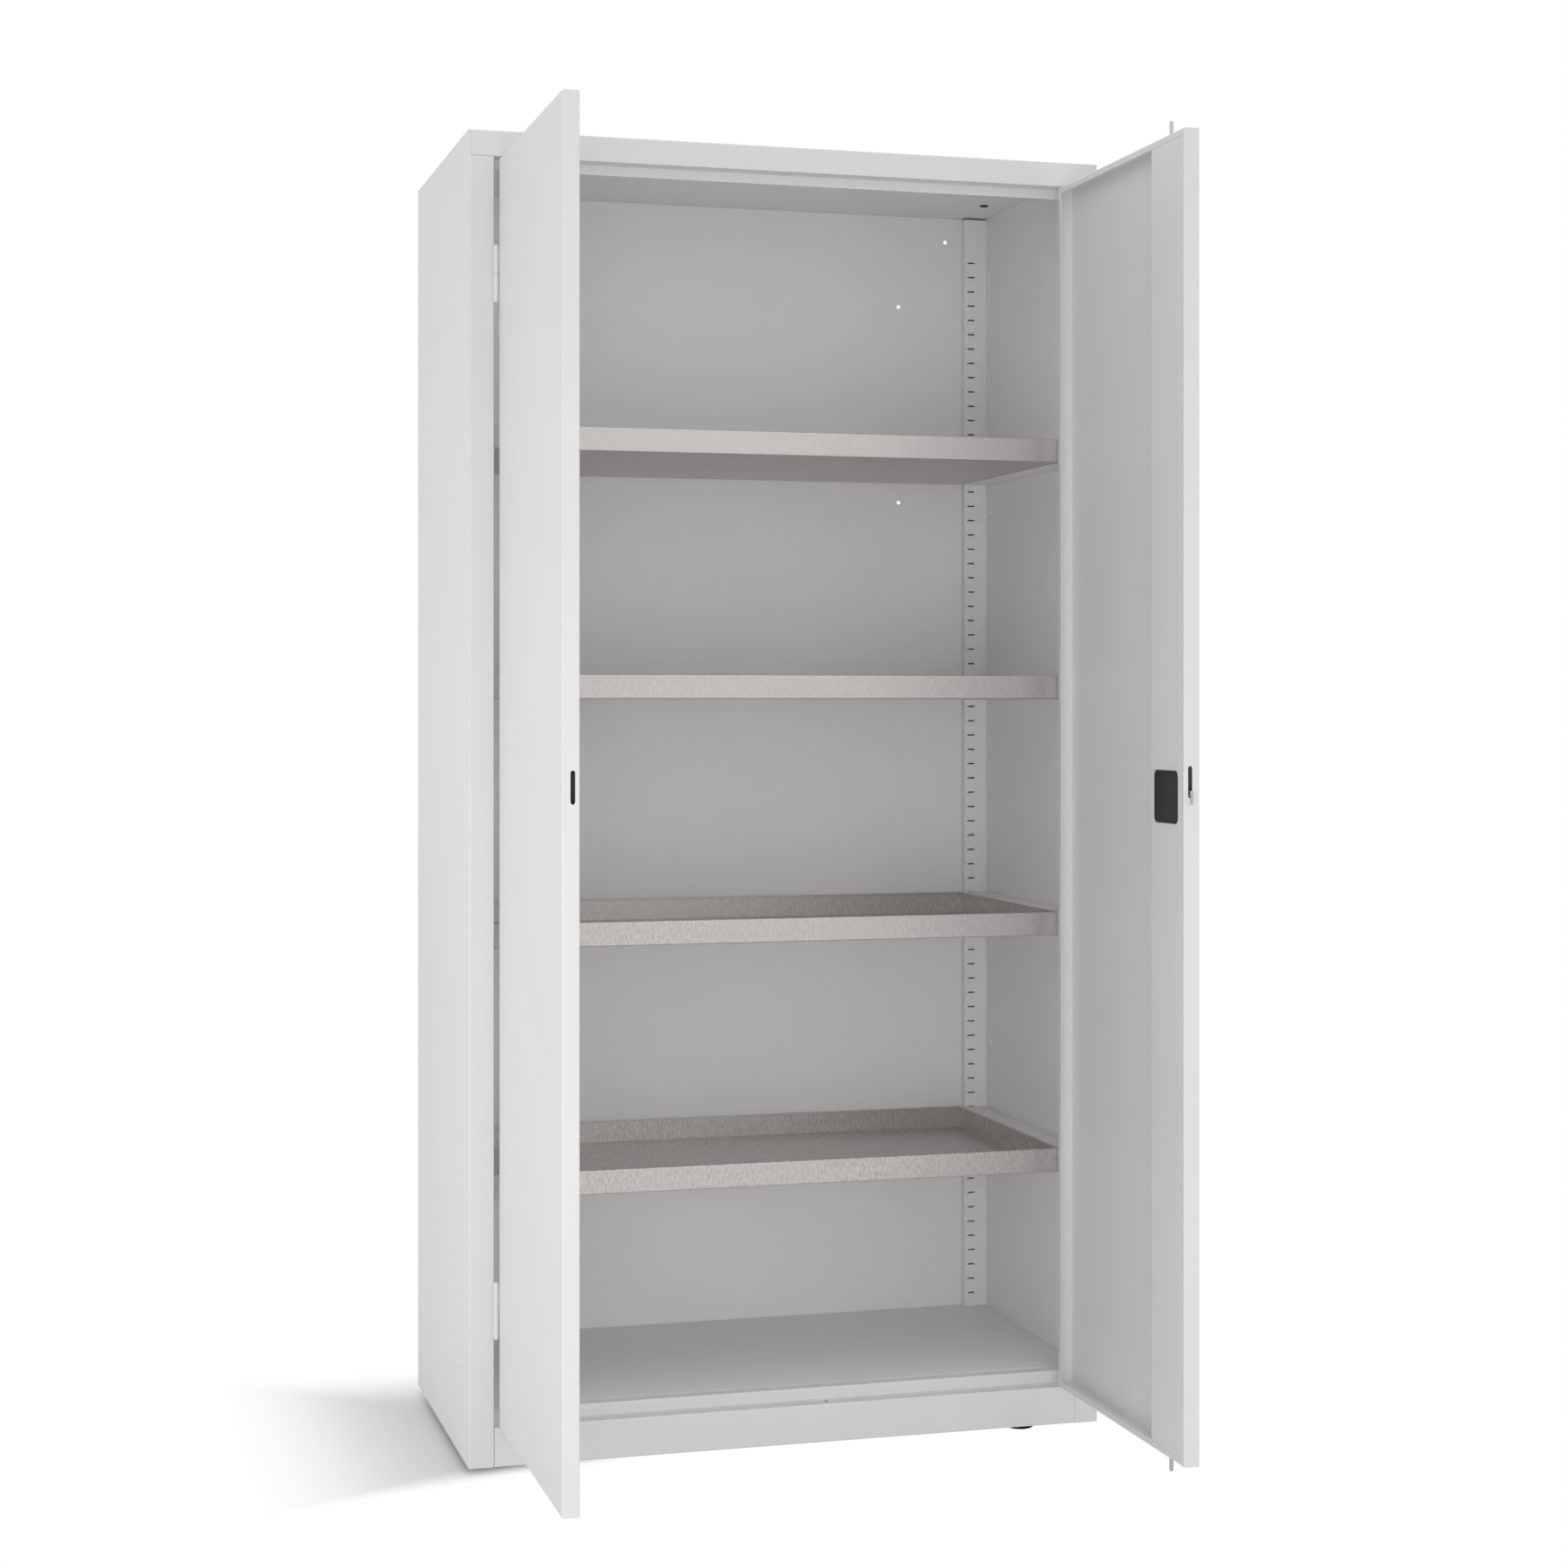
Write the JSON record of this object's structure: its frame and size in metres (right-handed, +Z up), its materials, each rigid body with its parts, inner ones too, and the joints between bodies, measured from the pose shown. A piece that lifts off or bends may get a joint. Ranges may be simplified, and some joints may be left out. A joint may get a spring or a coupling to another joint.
{
  "type": "multipurpose cabinet",
  "caption": "Tall sheet-steel storage cabinet with two hinged inset doors, a three-point lock and adjustable tray shelves on rails.",
  "frame": {"origin": "centre of the footprint with both doors open, on the floor under the feet", "axes": "+Z up, +X to the right as seen from the front, +Y from the front to the back"},
  "size_m": [1, 0.971, 1.9925],
  "materials": {
    "grey_paint": "light grey powder coat, satin",
    "galvanised_sheet": "galvanised, fine brushed streaks",
    "zinc_plated_steel": "zinc plated, satin",
    "black_plastic": "matt black moulded plastic",
    "grey_hinge": "light grey powder coat, satin"
  },
  "bodies": {
    "carcass": {"left_side_panel": "grey_paint", "left_rear_upright": "grey_paint", "left_base_rail": "grey_paint", "left_roof_plug": "black_plastic", "left_front_foot": "black_plastic", "left_rear_foot": "black_plastic", "left_lower_hinge_frame_half": "grey_hinge", "left_upper_hinge_frame_half": "grey_hinge", "right_side_panel": "grey_paint", "right_rear_upright": "grey_paint", "right_base_rail": "grey_paint", "right_roof_plug": "black_plastic", "right_front_foot": "black_plastic", "right_rear_foot": "black_plastic", "right_lower_hinge_frame_half": "grey_hinge", "right_upper_hinge_frame_half": "grey_hinge", "back_panel": "grey_paint", "top_panel": "grey_paint", "floor_panel": "grey_paint", "shelf_1": "galvanised_sheet", "shelf_1_left_rail": "grey_paint", "shelf_1_right_rail": "grey_paint", "shelf_2": "galvanised_sheet", "shelf_2_left_rail": "grey_paint", "shelf_2_right_rail": "grey_paint", "shelf_3": "galvanised_sheet", "shelf_3_left_rail": "grey_paint", "shelf_3_right_rail": "grey_paint", "shelf_4": "galvanised_sheet", "shelf_4_left_rail": "grey_paint", "shelf_4_right_rail": "grey_paint"},
    "left_door": {"left_lower_hinge_door_half": "grey_hinge", "left_upper_hinge_door_half": "grey_hinge", "left_door": "grey_paint", "left_door_stiffener": "grey_paint"},
    "right_door": {"right_lower_hinge_door_half": "grey_hinge", "right_upper_hinge_door_half": "grey_hinge", "right_door": "grey_paint", "right_door_stiffener": "grey_paint", "lock_case": "zinc_plated_steel", "lock_cover": "black_plastic", "upper_rod_guide": "black_plastic", "lower_rod_guide": "black_plastic", "handle_rose": "black_plastic", "hook_bracket": "zinc_plated_steel"},
    "upper_rod": {"upper_lock_rod": "zinc_plated_steel"},
    "lower_rod": {"lower_lock_rod": "zinc_plated_steel"},
    "hook": {"hook_latch": "zinc_plated_steel"},
    "handle": {"lock_handle": "black_plastic"}
  },
  "joints": [
    {"name": "left_door_hinge", "type": "hinge", "parent": "carcass", "child": "left_door", "pos_m": [-0.46, -0.019, 1.001], "axis": [0, 0, -1], "range_deg": [-90, 85]},
    {"name": "right_door_hinge", "type": "hinge", "parent": "carcass", "child": "right_door", "pos_m": [0.46, -0.019, 1.001], "axis": [0, 0, 1], "range_deg": [-90, 85]},
    {"name": "upper_rod_slide", "type": "slide", "parent": "right_door", "child": "upper_rod", "axis": [0, 0, 1], "range_m": [-0.0196, 0.0185]},
    {"name": "lower_rod_slide", "type": "slide", "parent": "right_door", "child": "lower_rod", "axis": [0, 0, -1], "range_m": [-0.0196, 0.0185]},
    {"name": "handle_turn", "type": "hinge", "parent": "right_door", "child": "handle", "pos_m": [0.4555, -0.394, 1.01006], "axis": [-1, 0, 0], "range_deg": [-90, 85]},
    {"name": "hook_latch_swing", "type": "hinge", "parent": "right_door", "child": "hook", "pos_m": [0.441, -0.47, 1.01506], "axis": [-1, 0, 0], "range_deg": [0, 120]}
  ],
  "couplings": [
    {"joint": "upper_rod_slide", "follows": "right_door_hinge", "m_per_rad": 0.012414},
    {"joint": "lower_rod_slide", "follows": "right_door_hinge", "m_per_rad": 0.012414},
    {"joint": "handle_turn", "follows": "right_door_hinge", "ratio": 1}
  ]
}
